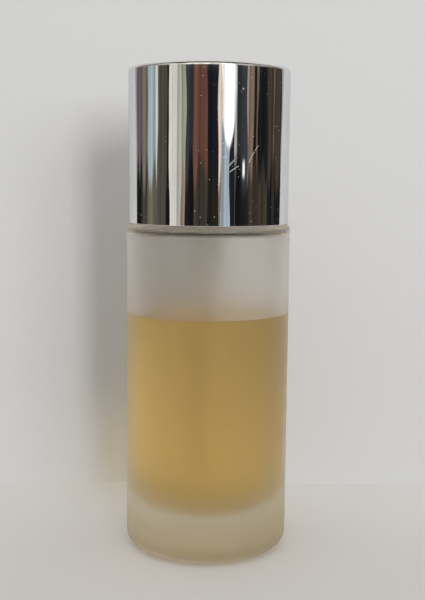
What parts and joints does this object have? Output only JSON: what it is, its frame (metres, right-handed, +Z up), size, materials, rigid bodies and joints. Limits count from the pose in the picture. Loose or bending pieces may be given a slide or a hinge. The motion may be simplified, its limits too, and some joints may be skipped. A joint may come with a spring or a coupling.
{
  "type": "spray bottle with cap",
  "caption": "Round frosted-glass spray bottle part filled with amber liquid, with a crimped fine-mist pump and a bright metal pull-off cap.",
  "frame": {"origin": "centre of the foot, on the plane that the bottle stands on", "axes": "+Z up along the bottle's axis, -Y towards the front, which the nozzle faces, +X to the right seen from the front"},
  "size_m": [0.048, 0.048, 0.1402],
  "materials": {
    "frosted_glass": "matte",
    "amber_liquid": "gloss",
    "bright_metal": "polished",
    "ferrule_metal": "satin",
    "spring_steel": "polished",
    "white_moulding": "satin",
    "dark_moulding": "satin",
    "clear_tube": "satin",
    "soft_seal": "matte"
  },
  "bodies": {
    "bottle": {"bottle": "frosted_glass", "fragrance": "amber_liquid", "neck_gasket": "soft_seal", "pump_housing": "white_moulding", "dip_tube": "clear_tube", "return_spring": "spring_steel", "stem_seal": "soft_seal", "retainer": "white_moulding", "crimp_ferrule": "ferrule_metal", "collar_insert": "white_moulding", "collar_shell": "bright_metal"},
    "cap": {"cap_shell": "bright_metal", "cap_liner": "dark_moulding"},
    "stem": {"stem": "white_moulding", "valve_rod": "white_moulding", "piston_spring": "spring_steel"},
    "piston": {"piston": "white_moulding"},
    "actuator": {"actuator_button": "white_moulding", "actuator_shell": "bright_metal", "spray_insert": "white_moulding"},
    "ball": {"inlet_ball": "spring_steel"}
  },
  "joints": [
    {"name": "cap_lift", "type": "slide", "parent": "bottle", "child": "cap", "axis": [0, 0, 1], "range_m": [0, 0.045]},
    {"name": "spray_press", "type": "slide", "parent": "bottle", "child": "stem", "axis": [0, 0, 1], "range_m": [-0.0042, 0], "stiffness_N_per_m": 1500, "springref_m": 0.003, "deforming": ["return_spring"]},
    {"name": "actuator_turn", "type": "hinge", "parent": "stem", "child": "actuator", "pos_m": [0, 0, 0.1166], "axis": [0, 0, 1], "continuous": true},
    {"name": "piston_lag", "type": "slide", "parent": "stem", "child": "piston", "axis": [0, 0, 1], "range_m": [0, 0.0005], "deforming": ["piston_spring"]},
    {"name": "ball_lift", "type": "slide", "parent": "bottle", "child": "ball", "axis": [0, 0, 1], "range_m": [0, 0.0008]}
  ],
  "couplings": [
    {"joint": "piston_lag", "follows": "spray_press", "ratio": -0.119}
  ]
}
